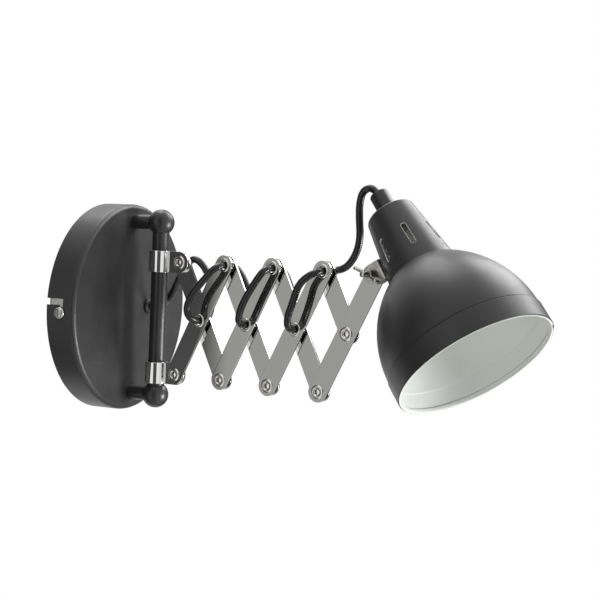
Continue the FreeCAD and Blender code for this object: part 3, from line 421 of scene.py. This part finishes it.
# The shade's section, as (radius, height) in millimetres: the neck, the dome and the rim's band
# outside, then the hem, the dome and the neck inside.
outside = [(5.05, 27), (14.4, 27), (15.35, 26.75), (16.05, 26.2), (16.33, 25.4), (22.8, -20.1),
           (22.95, -20.4)]
outside += bow((23.3, -20.6), (51.5, -77.1), 71, 40, 1)
outside += [(51.25, -77.4), (51.4, -77.6), (52.05, -77.85), (52.2, -78.1), (52.2, -91.6),
            (51.95, -92), (51.6, -92.2)]
inside = [(51.1, -92.2), (50.5, -91.9), (50.2, -91.2), (50.15, -89.9), (50.4, -89.1),
          (51.35, -89.0), (51.35, -88.4), (50.9, -88.2), (50.9, -78.7), (50.5, -77.6)]
inside += bow((50.4, -77.2), (22.5, -21.4), 70, 40, -1)
inside += [(21.85, -20.2), (15.3, 25.9), (5.05, 26)]

SLOT_HALF_WIDTH, SLOT_TOP, SLOT_LENGTH = 1.6, 7.6, 17
CUT_FROM, CUT_DEPTH = 10 * mm, 20 * mm
OUTER_SKIN, FLAT_TOP = 0.3 * mm, 26.9 * mm


def slot_bar(degrees):
    """A bar with round ends that cuts one slot, at this angle from the side away from the arm."""
    bar = bmesh.new()
    ends = []
    for height in (SLOT_TOP - SLOT_HALF_WIDTH, SLOT_TOP - SLOT_LENGTH + SLOT_HALF_WIDTH):
        ring = bmesh.ops.create_circle(bar, radius=SLOT_HALF_WIDTH * mm, segments=32)["verts"]
        bmesh.ops.translate(bar, verts=ring, vec=(0, height * mm, 0))
        ends += ring
    bmesh.ops.convex_hull(bar, input=ends)
    bmesh.ops.dissolve_limit(bar, angle_limit=radians(1), verts=bar.verts, edges=bar.edges)
    lifted = bmesh.ops.extrude_face_region(bar, geom=bar.faces[:1])
    bmesh.ops.translate(bar, vec=(0, 0, CUT_DEPTH),
                        verts=[v for v in lifted["geom"] if isinstance(v, bmesh.types.BMVert)])
    bmesh.ops.recalc_face_normals(bar, faces=bar.faces)
    bar.transform(Matrix.Rotation(radians(degrees - 90), 4, "Z")
                  @ Matrix.Translation((CUT_FROM, 0, 0)) @ Matrix.Rotation(pi / 2, 4, "Z")
                  @ Matrix.Rotation(pi / 2, 4, "X"))
    return bar


def cut(mesh, tool):
    """The mesh less the tool's closed solids."""
    pair = []
    for part in (mesh, tool):
        data = bpy.data.meshes.new("part")
        part.to_mesh(data)
        part.free()
        pair.append(bpy.data.objects.new("part", data))
        bpy.context.scene.collection.objects.link(pair[-1])
    whole, cutter = pair
    change = whole.modifiers.new("cut", "BOOLEAN")
    change.operation, change.solver, change.object = "DIFFERENCE", "EXACT", cutter
    depsgraph = bpy.context.evaluated_depsgraph_get()
    data = bpy.data.meshes.new_from_object(whole.evaluated_get(depsgraph))
    left = bmesh.new()
    left.from_mesh(data)
    for spare in (data, whole.data, cutter.data):
        bpy.data.meshes.remove(spare)
    return left


def skin_radius(height):
    """The shade's outer radius at this height, in metres."""
    height /= mm
    for (r1, z1), (r2, z2) in zip(outside[1:], outside[2:]):
        if z2 <= height <= z1 and z1 > z2:
            return (r1 + (r2 - r1) * (z1 - height) / (z1 - z2)) * mm
    return outside[-1][0] * mm


mesh = bmesh.new()
turned(mesh, outside + inside + outside[:1], steps=160)
settle(mesh, 0)
slots = bmesh.new()
for degrees in (0, 56, -56, 112, -112):
    join(slots, slot_bar(degrees))
mesh = cut(mesh, slots)
bmesh.ops.remove_doubles(mesh, verts=mesh.verts, dist=0.002 * mm)
for face in mesh.faces:
    middle = face.calc_center_median()
    depth = skin_radius(middle.z) - Vector((middle.x, middle.y)).length
    face.material_index = 0 if depth < OUTER_SKIN or middle.z > FLAT_TOP else 1
    face.smooth = True
# Each slot's outer edge is rounded and given white enamel: a painted highlight round the slot.
slot_edge_highlight = [e for e in mesh.edges if len(e.link_faces) == 2
            and sorted(face.material_index for face in e.link_faces) == [0, 1]
            and -12 * mm < e.verts[0].co.z < 8 * mm and e.calc_face_angle(0) > radians(45)]
bmesh.ops.bevel(mesh, geom=slot_edge_highlight, offset=0.3 * mm, segments=1, affect="EDGES", material=1)
for e in mesh.edges:
    e.smooth = e.calc_face_angle(pi) < radians(35)
mesh.transform(HEAD)
piece("shade_finished", mesh, [satin_black, white_enamel], "shade", "black_paint", "shade_shell")


# ---- lampholder ----
# A small screw-cap lampholder, moulded in pale thermoset, hangs from a threaded tube that a nut
# clamps to the neck. Its brass liner has the lamp's rolled thread, and a tongue feeds its centre.

# Moulded thermoset: off-white, dense and slightly glossy.
moulded_thermoset, tree, shader, place = start_material("moulded_thermoset", "#b4b1a8", 0, 0.38)
vary(tree, shader, place, "Base Color", 10 * mm, "#aeaba2", "#bab7ae")
bump(tree, shader, place, 0.5 * mm, 0.01 * mm, 0.3)

# Rolled brass, left plain: yellow, with the rolling's sheen.
plain_brass, tree, shader, place = start_material("rolled_brass", "#d4b063", 1, 0.24)
vary(tree, shader, place, "Roughness", 2 * mm, 0.2, 0.32)
bump(tree, shader, place, 0.4 * mm, 0.01 * mm, 0.3)

dress("lampholder", moulded_thermoset, 0.4 * mm, 3)
dress("socket_contact", plain_brass, 0.2 * mm)

LINER_FOOT, LAMP_THREAD = -20.6, 2.82
mesh = bmesh.new()
wave = []
for step in range(8):
    low = LINER_FOOT + step * LAMP_THREAD
    wave += [(7.12, low), (7.2, low + 0.5), (7.42, low + 1.1), (7.42, low + 1.7), (7.2, low + 2.3)]
turned(mesh, wave + [(7.12, 1.9), (7.58, 1.9), (7.58, LINER_FOOT), (7.12, LINER_FOOT)], steps=72)
settle(mesh, 0)
mesh.transform(HEAD)
piece("socket_liner_finished", mesh, [plain_brass], "shade", "brass", "socket_liner")

for node in ("threaded_nipple", "lock_nut"):
    dress(node, zinc_plate, 0.15 * mm)


# ---- cord cap ----
# A turned cap in satin black on the threaded tube. The cable goes down through its round top.

dress("cord_cap", turned_black, 0.2 * mm, 3)


# ---- cable ----
# One round cable in a smooth black PVC sheath. It leaves the grommet, is threaded through the
# hollow pivots, in front of each rising link and behind each falling one, and ends in the cap.

# Extruded PVC sheath: soft black with a clear narrow highlight and faint lines along it.
black_sheath, tree, shader, place = start_material("extruded_pvc_sheath", "#1e1e1f", 0, 0.26)
vary(tree, shader, place, "Roughness", 6 * mm, 0.23, 0.29)
bump(tree, shader, place, 2.5 * mm, 0.02 * mm, 0.1)

SHEATH = 5 * mm


def route_of(name, points, place):
    """The cable's line through these points, in millimetres in the frame of what carries it."""
    line = bpy.data.curves.new(name, "CURVE")
    line.dimensions = "3D"
    spline = line.splines.new("NURBS")
    spline.points.add(len(points) - 1)
    for control, point in zip(spline.points, points):
        control.co = (*(place @ (Vector(point) * mm)), 1)
    spline.order_u = 3
    spline.use_endpoint_u = True
    spline.resolution_u = 16
    line.use_fill_caps = True
    made = bpy.data.objects.new(name, line)
    bpy.context.scene.collection.objects.link(made)
    return made


def line_points(route):
    """Points along a route's own smooth line, in metres."""
    bpy.context.view_layer.update()
    line = bpy.data.meshes.new_from_object(route)
    points = [vertex.co.copy() for vertex in line.vertices]
    bpy.data.meshes.remove(line)
    return points


def run_length(points):
    """The length of the line through these points."""
    return sum((b - a).length for a, b in zip(points, points[1:]))


def strand(node, points, place):
    """A strand of cable between two pivots of one link."""
    made = route_of(node + "_sheath", points, place)
    line = line_points(made)
    made.data.bevel_depth = SHEATH / 2
    made.data.bevel_resolution = 6
    made.data.materials.append(black_sheath)
    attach(made, BODY_OF[node])
    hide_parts(node)


def bending_strand(node, points, place, spans):
    """A strand that crosses joints: mesh tubes end to end, one for each span of its line."""
    route = route_of(node + "_line", points, place)
    line = line_points(route)
    whole = run_length(line)
    bpy.data.objects.remove(route)
    walked, marks = 0, [0]
    for a, b in zip(line, line[1:]):
        walked += (b - a).length
        marks.append(walked / whole)
    for part, (begin, end, first, second, low, high) in enumerate(spans, start=1):
        own = [k for k, mark in enumerate(marks) if begin <= mark <= end]
        first_row, last_row = (own[0] - 1 if own[0] else 0), own[-1]
        run = line[first_row:last_row + 1]
        core = bpy.data.curves.new("core", "CURVE")
        core.dimensions = "3D"
        core.bevel_depth, core.bevel_resolution = SHEATH / 2, 6
        core.use_fill_caps = True
        spline = core.splines.new("POLY")
        spline.points.add(len(run) - 1)
        for control, point in zip(spline.points, run):
            control.co = (*point, 1)
        tube = bpy.data.objects.new("core", core)
        bpy.context.scene.collection.objects.link(tube)
        bpy.context.view_layer.update()
        data = bpy.data.meshes.new_from_object(tube)
        bpy.data.objects.remove(tube)
        mesh = bmesh.new()
        mesh.from_mesh(data)
        bpy.data.meshes.remove(data)
        bmesh.ops.remove_doubles(mesh, verts=mesh.verts, dist=0.002 * mm)
        for face in mesh.faces:
            face.smooth = True
            face.material_index = 0
        made = piece(f"{node}_sheath_{part}", mesh, [black_sheath], None, "black_cable", node)
        made.modifiers.clear()
        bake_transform(made)


FIRST_EYE = ARM.inverted() @ middle_pivot(0).translation / mm
OUT = [ARM.inverted() @ (Vector(point) * mm) / mm for point in ((20, -20.2, 0), (20, -33.2, 0))]
bending_strand("cable_root", OUT + [
    (12.5, -1.5, 9.5), (9.6, -11.5, 24.8), (8.8, -21, 37.2), (8.8, -28.2, 36.9),
    (9.2, -36.6, 28.3), (10, -40.9, 12.5), (10.5, FIRST_EYE.y, FIRST_EYE.z), FIRST_EYE], ARM,
    [(0, 0.47, "base", "lower_collar", 0.12, 0.42),
     (0.47, 1, "lower_collar", "rising_1", 0.52, 0.86)])

RISING = Matrix.Rotation(pi / 2 - LINK_ANGLE, 4, "X")
FALLING = Matrix.Rotation(LINK_ANGLE - pi / 2, 4, "X")
strand("cable_front_1", [
    (0, 0, 45), (-10.5, 0, 45), (-13.5, 6.8, 50.5), (-13.3, 7.2, 62.5), (-12.5, 3.8, 76),
    (-10.5, 0, 90), (0, 0, 90)], low_pivot(0) @ RISING)
strand("cable_front_2", [
    (0, 0, 45), (-10.5, 0, 45), (-13.5, 2.2, 54.2), (-13.3, 2.4, 66), (-12.3, 1.4, 78.5),
    (-10.5, 0, 90), (0, 0, 90)], low_pivot(1) @ RISING)
strand("cable_front_3", [
    (0, 0, 45), (-10.5, 0, 45), (-14, 2.6, 53), (-13.6, 4, 64.5), (-12.8, 6.6, 77.5),
    (-10.5, 0, 90), (0, 0, 90)], low_pivot(2) @ RISING)
strand("cable_rear_1", [
    (0, 0, 90), (10.5, 0, 90), (11.3, -3, 79.6), (11.3, -2.8, 68), (11, -1, 56.5),
    (10.5, 0, 45), (0, 0, 45)], low_pivot(2) @ FALLING)
strand("cable_rear_2", [
    (0, 0, 90), (10.5, 0, 90), (11.3, -0.8, 79.4), (11.3, 0.9, 68), (11, -0.6, 56.5),
    (10.5, 0, 45), (0, 0, 45)], low_pivot(3) @ FALLING)

INTO_CAP = [ARM.inverted() @ HEAD @ (Vector((0, 0, height)) * mm) / mm for height in (50.5, 40)]
bending_strand("cable_lead", [
    (0, -139.184, 34.509), (9.3, -139.184, 34.509), (10.3, -149.5, 36.5), (9.5, -157.4, 46),
    (8.5, -160.6, 57.5), (8, -159.5, 69.5), (7.5, -159.3, 80), (7.3, -161.8, 88.9)] + INTO_CAP,
    ARM, [(0, 0.339, "falling_4", "rising_4", 0.05, 0.3),
          (0.332, 0.671, "rising_4", "tilt_bracket", 0.37, 0.64),
          (0.668, 1, "tilt_bracket", "shade", 0.7, 0.9)])


# ---- studio ----
# A pale floor far below the lamp and softboxes overhead, to the right and low in front, in a room
# that fills evenly. Metal mirrors the room's ring of white screens and dark flags, white above.

FLOOR_CENTRE, FLOOR_REACH = (0, -0.2, -0.62), 6
floor = bpy.data.meshes.new("studio_floor")
mesh = bmesh.new()
bmesh.ops.create_grid(mesh, x_segments=1, y_segments=1, size=FLOOR_REACH)
bmesh.ops.translate(mesh, verts=mesh.verts, vec=FLOOR_CENTRE)
mesh.to_mesh(floor)
mesh.free()
pale_floor = bpy.data.materials.new("pale_studio_paper")
pale_floor.use_nodes = True
tree = pale_floor.node_tree
tree.nodes.clear()
ray = add(tree, "LightPath")
seen = add(tree, "Math", {0: ray.outputs["Is Camera Ray"], 1: ray.outputs["Is Transmission Ray"]},
           operation="MAXIMUM")
paper = add(tree, "BsdfDiffuse", {"Color": linear("#cecbc0")})
glow = add(tree, "Emission", {"Color": (1, 1, 1, 1), "Strength": 1})
either = add(tree, "MixShader", {0: seen.outputs[0], 1: paper.outputs[0], 2: glow.outputs[0]})
add(tree, "OutputMaterial", {"Surface": either.outputs[0]})
floor.materials.append(pale_floor)
studio_floor = bpy.data.objects.new("studio_floor", floor)
bpy.context.scene.collection.objects.link(studio_floor)
studio_floor.visible_glossy = False

world = bpy.data.worlds.new("studio")
bpy.context.scene.world = world
world.use_nodes = True
tree = world.node_tree
tree.nodes.clear()
ray = add(tree, "LightPath")
towards = add(tree, "TexCoord").outputs["Generated"]
axes = add(tree, "SeparateXYZ", {0: towards})
inwards = add(tree, "Math", {0: axes.outputs["Y"], 1: -1}, operation="MULTIPLY")
turn = add(tree, "Math", {0: axes.outputs["X"], 1: inwards.outputs[0]}, operation="ARCTAN2")
around = add(tree, "MapRange", {"Value": turn.outputs[0], "From Min": -pi, "From Max": pi})
ring = add(tree, "ValToRGB", {"Fac": around.outputs["Result"]})
walls = ring.color_ramp.elements
# Degrees round the lamp from where the camera stands, to its right, and the grey seen there.
RING_START = -114.25
for degrees, grey in ((-114, "#8a8a8a"), (-92, "#3c3c3c"), (-68.15, "#3c3c3c"), (-68, "#a6a6a4"),
                      (-60, "#acacaa"), (-57, "#ffffff"), (-26, "#ffffff"), (-23, "#505050"),
                      (9, "#505050"), (12, "#ffffff"), (33, "#ffffff"), (37, "#ececec"),
                      (60, "#ececec"), (66, "#ffffff"), (96, "#ffffff"), (106, "#747476"),
                      (158, "#747476"), (172, "#ffffff"), (244, "#ffffff")):
    stop = walls.new((degrees - RING_START) / 360)
    stop.color = linear(grey)
walls.remove(walls[0])
walls.remove(walls[-1])
above = add(tree, "MapRange", {"Value": axes.outputs["Z"], "From Min": 0.55, "From Max": 0.85},
            interpolation_type="SMOOTHSTEP")
room = add(tree, "Mix", {0: above.outputs[0], 6: ring.outputs["Color"], 7: linear("#ffffff")},
           data_type="RGBA").outputs[2]
fill = add(tree, "Background", {"Color": linear("#f4f4f6"), "Strength": 0.52})
mirror = add(tree, "Background", {"Color": room, "Strength": 1})
white = add(tree, "Background", {"Color": (1, 1, 1, 1), "Strength": 1})
metal = add(tree, "MixShader", {0: ray.outputs["Is Glossy Ray"], 1: fill.outputs[0],
                                2: mirror.outputs[0]})
seen = add(tree, "Math", {0: ray.outputs["Is Camera Ray"], 1: ray.outputs["Is Transmission Ray"]},
           operation="MAXIMUM")
backdrop = add(tree, "MixShader", {0: seen.outputs[0], 1: metal.outputs[0], 2: white.outputs[0]})
add(tree, "OutputWorld", {"Surface": backdrop.outputs[0]})


def softbox(name, place, target, width, height, power):
    """A rectangular light of this size and power that faces its target."""
    light = bpy.data.lights.new(name, "AREA")
    light.shape, light.size, light.size_y, light.energy = "RECTANGLE", width, height, power
    made = bpy.data.objects.new(name, light)
    made.location = place
    made.rotation_mode = "QUATERNION"
    made.rotation_quaternion = (Vector(target) - Vector(place)).to_track_quat("-Z", "Y")
    bpy.context.scene.collection.objects.link(made)


softbox("overhead_softbox", (0.35, 0.25, 1.1), (0, -0.1, 0), 0.5, 0.9, 6)
softbox("right_softbox", (0.95, -0.65, 0.95), (0, -0.25, 0), 1.1, 1.0, 20)
softbox("low_softbox", (0.25, -1.35, -0.35), (-0.05, -0.28, 0), 0.5, 0.5, 19)


# ---- camera ----
# Set where the photographer stood: to the left of the arm, a little above it, tipped slightly.

AZIMUTH, ELEVATION, ROLL = radians(-65.752), radians(3.041), radians(2.4)
RIGHTWARD, UPWARD, AWAY = 142.32 * mm, 3.787 * mm, 895.317 * mm
SENSOR, PHOTO_PIXELS, FOCAL_PIXELS = 36, 600, 1209.45
back = Vector((sin(AZIMUTH) * cos(ELEVATION), -cos(AZIMUTH) * cos(ELEVATION), sin(ELEVATION)))
across = Vector((cos(AZIMUTH), sin(AZIMUTH), 0))
upward = back.cross(across)
right = across * cos(ROLL) + upward * sin(ROLL)
up = upward * cos(ROLL) - across * sin(ROLL)
lens = bpy.data.cameras.new("camera")
lens.sensor_width, lens.lens = SENSOR, FOCAL_PIXELS / PHOTO_PIXELS * SENSOR
lens.clip_start, lens.clip_end = 0.01, 50
camera = bpy.data.objects.new("camera", lens)
spot = right * RIGHTWARD + up * UPWARD + back * AWAY
camera.matrix_world = Matrix((
    (right.x, up.x, back.x, spot.x), (right.y, up.y, back.y, spot.y),
    (right.z, up.z, back.z, spot.z), (0, 0, 0, 1)))
bpy.context.scene.collection.objects.link(camera)
bpy.context.scene.camera = camera
bpy.context.scene.view_settings.view_transform = "Standard"
